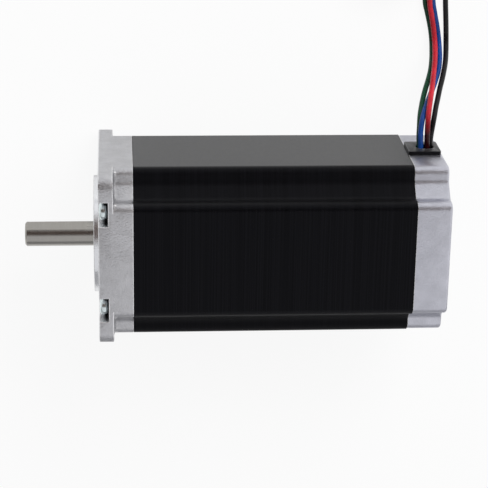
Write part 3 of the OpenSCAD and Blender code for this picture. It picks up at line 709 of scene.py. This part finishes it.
def tieBand():
    look = tieLook
    low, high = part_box("lead_tie")
    inner = [high[axis] - low[axis] - 2 * look["thickness"] for axis in range(3)]
    inner[0] = high[0] - low[0]
    middle = [(high[axis] + low[axis]) / 2 for axis in range(3)]
    bpy.ops.mesh.primitive_cube_add(size=1, location=middle, scale=inner)
    band = bpy.context.object
    band.name = "tieBand"
    applyPlace(band)
    startEditing(band, "FACE")
    selectFaces(band, lambda place, normal: abs(normal.x) > 0.9)
    bpy.ops.mesh.delete(type="FACE")
    selectEdges(band, lambda a, b: abs(a.x - b.x) > 0.001)
    bpy.ops.mesh.bevel(offset=look["cornerRadius"], segments=look["cornerSegments"], affect="EDGES")
    stopEditing()
    wall = band.modifiers.new("Wall", "SOLIDIFY")
    wall.thickness = look["thickness"]
    wall.offset = 1
    activate(band)
    bpy.ops.object.modifier_apply(modifier=wall.name)
    roundEdges(band, look["edge"], look["edgeSegments"], lambda middle: True, look["sharpest"])
    smooth(band, look["bandSmooth"])
    return band


def tieHead():
    # The locking head on top of the band, with the slot that the tail comes out of
    look = tieLook
    low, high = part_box("lead_tie")
    length, width, height = look["head"]
    middle = ((low[0] + high[0]) / 2, (low[1] + high[1]) / 2, high[2] + height / 2 - look["headSunk"])
    slotEnd = Vector(middle) + Vector((0, width / 2, 0))
    tail = Vector((0, look["tail"], 0))
    bpy.ops.mesh.primitive_cube_add(size=1, location=middle, scale=(length, width, height))
    head = bpy.context.object
    head.name = "tieHead"
    applyPlace(head)
    startEditing(head, "FACE")
    bpy.ops.mesh.select_all(action="SELECT")
    bpy.ops.mesh.bevel(offset=look["headRounding"], segments=look["headSegments"], affect="EDGES")
    selectFaces(head, lambda place, normal: normal.y > 0.99)
    bpy.ops.mesh.inset(thickness=look["slotRim"])
    bpy.ops.transform.resize(value=look["slotShares"], center_override=slotEnd)
    bpy.ops.mesh.extrude_region_move(TRANSFORM_OT_translate={"value": tail})
    bpy.ops.transform.resize(value=look["tailShares"], center_override=slotEnd + tail)
    stopEditing()
    smooth(head, look["headSmooth"])
    return head


band = tieBand()
head = tieHead()
finishPiece(band, "housing", tiePlastic, ("lead_tie",))
finishPiece(head, "housing", tiePlastic, ("lead_tie",))
print("tie made")


# Housing: the two castings with their edges rounded as cast, and the grommet

bellLook = {"edge": 0.0003, "segments": 3, "insideRadius": 0.0258, "pocketDepth": 0.0032, "smoothAngle": 35}
footLook = {
    "flangeBack": 0.0047, "radius": 0.0016, "steps": 6, "freeShare": 0.75, "rim": 0.0282, "within": 0.00001,
    "notch": (0.0163, 0.0236), "hole": 0.02357, "holeRoom": 0.00275,
    "screw": (0.016, 0.024), "screwRoom": 0.0022,
}
capEdgeLook = {
    "edge": 0.0003, "segments": 3, "rearEdge": 0.0009, "rearSegments": 5, "rearRoom": 0.0003,
    "within": 0.0001, "insideRadius": 0.0259, "smoothAngle": 35,
}
grommetLook = {"edge": 0.0002, "segments": 3, "smoothAngle": 35}


def fromAxis(point):
    return math.hypot(point.y, point.z)


def onNotch(place):
    # On the wall of a corner notch, clear of the mounting hole and of the tie screw's bore
    look = footLook
    sideY, sideZ = abs(place.y), abs(place.z)
    low, high = look["notch"]
    holeAway = math.hypot(sideY - look["hole"], sideZ - look["hole"])
    screwAway = math.hypot(sideY - look["screw"][0], sideZ - look["screw"][1])
    onWall = low < min(sideY, sideZ) < high and max(sideY, sideZ) < look["rim"] - look["within"] / 2
    return onWall and holeAway > look["holeRoom"] and screwAway > look["screwRoom"]


def footShift(point):
    # How far a point of the notch's wall moves out, for a fillet that thins out towards the rim
    look = footLook
    normals = [face.normal for face in point.link_faces if abs(face.normal.x) < 0.3]
    out = Vector((0, sum(normal.y for normal in normals), sum(normal.z for normal in normals)))
    if out.length < 0.001:
        return None
    out.normalize()
    free = min((look["rim"] - abs(point.co[axis])) / abs(out[axis])
               for axis in (1, 2) if abs(out[axis]) > 0.01)
    holeAway = math.hypot(abs(point.co.y) - look["hole"], abs(point.co.z) - look["hole"])
    radius = min(look["radius"], look["freeShare"] * free, holeAway - look["holeRoom"])
    above = max(0, point.co.x - look["flangeBack"])
    if above >= radius:
        return None
    return out * (radius - math.sqrt(radius ** 2 - (radius - above) ** 2))


def fillNotchFeet(piece):
    # Fillet where the walls of the four corner notches meet the back of the flange
    look = footLook
    startEditing(piece, "VERT")
    for step in range(1, look["steps"] + 1):
        height = look["radius"] * (1 - math.cos(math.radians(90 * step / look["steps"])))
        bpy.ops.mesh.select_all(action="SELECT")
        bpy.ops.mesh.bisect(plane_co=(look["flangeBack"] + height, 0, 0), plane_no=(1, 0, 0))
    mesh = bmesh.from_edit_mesh(piece.data)
    mesh.normal_update()
    shifts = []
    for point in mesh.verts:
        if -look["within"] < point.co.x - look["flangeBack"] < look["radius"] and onNotch(point.co):
            shifts.append((point, footShift(point)))
    for point, shift in shifts:
        if shift:
            point.co += shift
    bmesh.update_edit_mesh(piece.data)
    stopEditing()


def frontBell():
    piece = copyOfNode("front_bell", "frontBell")
    look = bellLook
    useFinishes(piece, castAluminium, wornEdge)
    fillNotchFeet(piece)
    roundEdges(piece, look["edge"], look["segments"],
               lambda middle: fromAxis(middle) > look["insideRadius"] or middle.x < look["pocketDepth"],
               slotNumber=1)
    smooth(piece, look["smoothAngle"])
    return piece


def rearCap():
    piece = copyOfNode("rear_cap", "rearCap")
    look = capEdgeLook
    useFinishes(piece, capAluminium, wornEdge)
    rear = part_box("rear_cap")[1][0]
    front = rear - look["rearEdge"] - look["rearRoom"]
    roundEdges(piece, look["rearEdge"], look["rearSegments"], lambda middle: middle.x > rear - look["within"])
    roundEdges(piece, look["edge"], look["segments"],
               lambda middle: middle.x < front and fromAxis(middle) > look["insideRadius"], slotNumber=1)
    smooth(piece, look["smoothAngle"])
    return piece


def leadGrommet():
    piece = copyOfNode("grommet", "leadGrommet")
    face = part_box("rear_cap")[1][1]
    roundEdges(piece, grommetLook["edge"], grommetLook["segments"], lambda middle: middle.y > face)
    smooth(piece, grommetLook["smoothAngle"])
    return piece


finishPiece(frontBell(), "housing", replaced=("front_bell",))
finishPiece(rearCap(), "housing", replaced=("rear_cap",))
finishPiece(leadGrommet(), "housing", grommetRubber, ("grommet",))
print("castings and grommet made")


# Tie screws: head with a domed top and a rounded underside, cross recess, shank and thread

screwLook = {
    "across": 0.015998, "up": 0.024, "sides": 40,
    "head": [(0.0002, 0.0014), (0.00035, 0.0021), (0.0007, 0.0026), (0.0011, 0.00285), (0.0016, 0.00295),
             (0.0021, 0.0029), (0.0025, 0.0026), (0.0028, 0.0021), (0.003, 0.0017), (0.0031, 0.0016)],
    "neckStep": 0.00001, "shankRadius": 0.0015, "shankEnd": 0.1083, "endShare": 0.8,
    "threadLength": 0.0076, "pitch": 0.0005, "threadDepth": 0.00025,
    "recess": (0.0031, 0.0008, 0.0026), "recessMiddle": 0.0005, "recessTaper": 0.6,
    "edge": 0.00006, "edgeSegments": 2, "edgesBelow": 0.0012, "sharpest": 40, "smoothAngle": 32,
    "turnBetween": 37,
}


def screwRings():
    look = screwLook
    rings = list(look["head"])
    rings.append((rings[-1][0] + look["neckStep"], look["shankRadius"]))
    threadStart = look["shankEnd"] - look["threadLength"]
    turns = int(look["threadLength"] / look["pitch"]) - 1
    for number in range(turns):
        height = threadStart + number * look["pitch"]
        rings.append((height, look["shankRadius"]))
        rings.append((height + look["pitch"] / 2, look["shankRadius"] - look["threadDepth"]))
    rings.append((look["shankEnd"], look["shankRadius"] * look["endShare"]))
    return rings


def recessCutter():
    # One arm of the cross, narrower at its bottom
    look = screwLook
    bpy.ops.mesh.primitive_cube_add(size=1, location=(0, 0, look["recessMiddle"]), scale=look["recess"])
    cutter = bpy.context.object
    applyPlace(cutter)
    startEditing(cutter, "FACE")
    selectFaces(cutter, lambda place, normal: normal.z > 0.9)
    share = look["recessTaper"]
    bpy.ops.transform.resize(value=(share, share, 1), center_override=(0, 0, 0))
    stopEditing()
    return cutter


def tieScrew():
    look = screwLook
    screw = growRings(screwRings(), look["sides"], "tieScrew_1")
    for quarter in (0, 1):
        cutter = recessCutter()
        cutter.data.transform(Matrix.Rotation(math.radians(45 + 90 * quarter), 4, "Z"))
        activate(screw)
        recess = screw.modifiers.new("Recess", "BOOLEAN")
        recess.object = cutter
        recess.operation = "DIFFERENCE"
        recess.solver = "EXACT"
        bpy.ops.object.modifier_apply(modifier=recess.name)
        bpy.data.objects.remove(cutter)
    roundEdges(screw, look["edge"], look["edgeSegments"], lambda middle: middle.z < look["edgesBelow"],
               look["sharpest"])
    smooth(screw, look["smoothAngle"])
    screw.data.transform(Matrix.Rotation(math.radians(90), 4, "Y"))
    return screw


mould = tieScrew()
for number, (sideY, sideZ) in enumerate([(1, 1), (-1, 1), (-1, -1), (1, -1)], 1):
    screw = copyOf(mould, "tieScrew_%d" % (number + 10))
    screw.data.transform(Matrix.Rotation(math.radians(screwLook["turnBetween"] * number), 4, "X"))
    screw.data.transform(Matrix.Translation((0, sideY * screwLook["across"], sideZ * screwLook["up"])))
    finishPiece(screw, "housing", screwZinc, ("tie_screws",))
bpy.data.objects.remove(mould)
print("tie screws made")


# The other CAD nodes keep their shapes and get their finishes

nodeFinishes = {
    "stator_core": laminations, "front_insulator": insulatorPlastic, "rear_insulator": insulatorPlastic,
    "terminal_board": boardFinish, "preload_washer": springSteel,
    "front_shields": springSteel, "rear_shields": springSteel,
    "front_outer_race": bearingSteel, "front_inner_race": bearingSteel, "front_balls": bearingSteel,
    "rear_outer_race": bearingSteel, "rear_inner_race": bearingSteel, "rear_balls": bearingSteel,
    "front_cage": cageBrass, "rear_cage": cageBrass, "rotor_spacers": cageBrass, "shaft": shaftSteel,
}
for number in range(1, 9):
    nodeFinishes["winding_%d" % number] = copper if number % 2 else copperDark
for number in range(1, 7):
    nodeFinishes["rotor_cup_%d" % number] = rotorSteel
for number in range(1, 4):
    nodeFinishes["rotor_magnet_%d" % number] = magnetFinish
for node, finish in nodeFinishes.items():
    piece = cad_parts[node]
    if not piece.material_slots:
        piece.data.materials.append(finish)
    for place in piece.material_slots:
        place.material = finish
print("CAD nodes finished:", len(nodeFinishes))


# Floor, two dark cards that the object mirrors, and lights

roomLook = {
    "floorHeight": -0.02825, "floorSize": 6, "floorColour": 0.9, "floorWhite": 0.9, "dull": 0.9,
    "floorGlossy": (0.335, 0.68), "floorTurns": (-0.01, -0.03),
    "worldColours": [(-0.8, (0.6, 0.6, 0.61)), (-0.2, (0.72, 0.72, 0.735)), (0.2, (0.72, 0.72, 0.735)),
                     (0.75, (0.95, 0.95, 0.96))],
    "worldOnDiffuse": 0.55, "horizon": 0.97,
}
cards = [
    {"name": "cameraCard", "place": (0.03, 0.1775, 0.3806), "tilt": -25, "size": (1.6, 0.54),
     "colour": (0.22, 0.18, 0.165), "solid": 0.16},
    {"name": "frontCard", "place": (0.03, -0.268, 0.13), "tilt": -33, "size": (1.6, 0.52),
     "colour": (0.4, 0.4, 0.41), "solid": 0.44},
]
lamps = [
    {"name": "backLight", "place": (0.0, 1.43, 0.46), "size": (1.2, 0.5), "power": 0.3, "mirrored": True},
    {"name": "rightLight", "place": (0.8, 0.6, 0.9), "size": (0.45, 0.45), "power": 2.6, "mirrored": True},
    {"name": "overheadLight", "place": (0.45, 1.0, 0.75), "size": (0.6, 0.6), "power": 10.0,
     "mirrored": False},
]
lampsAimAt = (0.05, 0, 0)


def mixed(finish, share, output, first, second):
    # Shows the first shader where the share is 0 and the second where it is 1
    mix = addNode(finish, "ShaderNodeMixShader")
    join(finish, share, output, mix, "Fac")
    finish.node_tree.links.new(first.outputs[0], mix.inputs[1])
    finish.node_tree.links.new(second.outputs[0], mix.inputs[2])
    return mix


def floorShare(finish):
    # How white the floor is by itself: most to the camera, less in gloss, none on matt surfaces
    look = roomLook
    rays = addNode(finish, "ShaderNodeLightPath")
    seen = addNode(finish, "ShaderNodeMath", {1: look["floorWhite"]}, operation="MULTIPLY")
    join(finish, rays, "Is Camera Ray", seen, 0)
    back, front = look["floorGlossy"]
    start, full = look["floorTurns"]
    level = addNode(finish, "ShaderNodeMapRange",
                    {"From Min": start, "From Max": full, "To Min": back, "To Max": front})
    join(finish, axisParts(finish), "Y", level, "Value")
    mirrored = addNode(finish, "ShaderNodeMath", operation="MULTIPLY")
    join(finish, rays, "Is Glossy Ray", mirrored, 0)
    join(finish, level, "Result", mirrored, 1)
    share = addNode(finish, "ShaderNodeMath", operation="MAXIMUM")
    join(finish, seen, "Value", share, 0)
    join(finish, mirrored, "Value", share, 1)
    return share


def whiteFloor():
    look = roomLook
    bpy.ops.mesh.primitive_grid_add(x_subdivisions=4, y_subdivisions=4, size=look["floorSize"],
                                    location=(0, 0, look["floorHeight"]))
    floor = bpy.context.object
    floor.name = "floor"
    finish = plainFinish("floorWhite", (look["floorColour"],) * 3, 0.0, look["dull"], 0.0)
    glow = addNode(finish, "ShaderNodeEmission", {"Color": (1, 1, 1, 1), "Strength": 1.0})
    shader = finish.node_tree.nodes["Principled BSDF"]
    mix = mixed(finish, floorShare(finish), "Value", shader, glow)
    join(finish, mix, "Shader", finish.node_tree.nodes["Material Output"], "Surface")
    floor.data.materials.append(finish)


def cardCloth(card):
    # Fades to nothing at the card's two long edges
    finish = plainFinish(card["name"] + "Cloth", card["colour"], 0.0, roomLook["dull"], 0.0)
    fade = zone(finish, away(finish, axisParts(finish), "Y"), "Value", card["solid"], 0.5)
    clear = addNode(finish, "ShaderNodeBsdfTransparent")
    mix = mixed(finish, fade, "Result", finish.node_tree.nodes["Principled BSDF"], clear)
    join(finish, mix, "Shader", finish.node_tree.nodes["Material Output"], "Surface")
    return finish


def darkCard(card):
    # Seen only in the gloss of the metal and the paint
    bpy.ops.mesh.primitive_plane_add(size=1, location=card["place"],
                                     rotation=(math.radians(card["tilt"]), 0, 0))
    sheet = bpy.context.object
    sheet.name = card["name"]
    sheet.scale = (*card["size"], 1)
    sheet.data.materials.append(cardCloth(card))
    sheet.visible_camera = False
    sheet.visible_diffuse = False
    sheet.visible_shadow = False
    sheet.visible_transmission = False


def softLight(lamp):
    bpy.ops.object.light_add(type="AREA", location=lamp["place"])
    light = bpy.context.object
    light.name = lamp["name"]
    light.data.shape = "RECTANGLE"
    light.data.size, light.data.size_y = lamp["size"]
    light.data.energy = lamp["power"]
    light.visible_glossy = lamp["mirrored"]
    aim = Vector(lampsAimAt) - Vector(lamp["place"])
    light.rotation_euler = aim.to_track_quat("-Z", "Y").to_euler()


def colourAcross(world, stops):
    # Colours by how far a direction points to the object's right
    parts = addNode(world, "ShaderNodeSeparateXYZ")
    join(world, addNode(world, "ShaderNodeTexCoord"), "Generated", parts, "Vector")
    across = addNode(world, "ShaderNodeMapRange", {"From Min": -1.0, "From Max": 1.0})
    join(world, parts, "X", across, "Value")
    ramp = addNode(world, "ShaderNodeValToRGB")
    while len(ramp.color_ramp.elements) < len(stops):
        ramp.color_ramp.elements.new(0.5)
    for stop, (place, colour) in zip(ramp.color_ramp.elements, stops):
        stop.position = (place + 1) / 2
        stop.color = (*colour, 1)
    join(world, across, "Result", ramp, "Fac")
    return ramp


def paleRoom():
    # Darker to the object's left, lighter to its right; gives less to matt surfaces than to gloss
    look = roomLook
    world = bpy.data.worlds.new("paleRoom")
    world.use_nodes = True
    background = world.node_tree.nodes["Background"]
    join(world, colourAcross(world, look["worldColours"]), "Color", background, "Color")
    strength = addNode(world, "ShaderNodeMapRange", {"To Min": look["worldOnDiffuse"], "To Max": 1.0})
    join(world, addNode(world, "ShaderNodeLightPath"), "Is Glossy Ray", strength, "Value")
    join(world, strength, "Result", background, "Strength")
    horizon = addNode(world, "ShaderNodeBackground", {"Color": (1, 1, 1, 1), "Strength": look["horizon"]})
    mix = mixed(world, addNode(world, "ShaderNodeLightPath"), "Is Camera Ray", background, horizon)
    join(world, mix, "Shader", world.node_tree.nodes["World Output"], "Surface")
    return world


deselectAll()
whiteFloor()
for card in cards:
    darkCard(card)
for lamp in lamps:
    softLight(lamp)
bpy.context.scene.world = paleRoom()
bpy.context.scene.view_settings.view_transform = "Standard"
print("floor and lights placed")
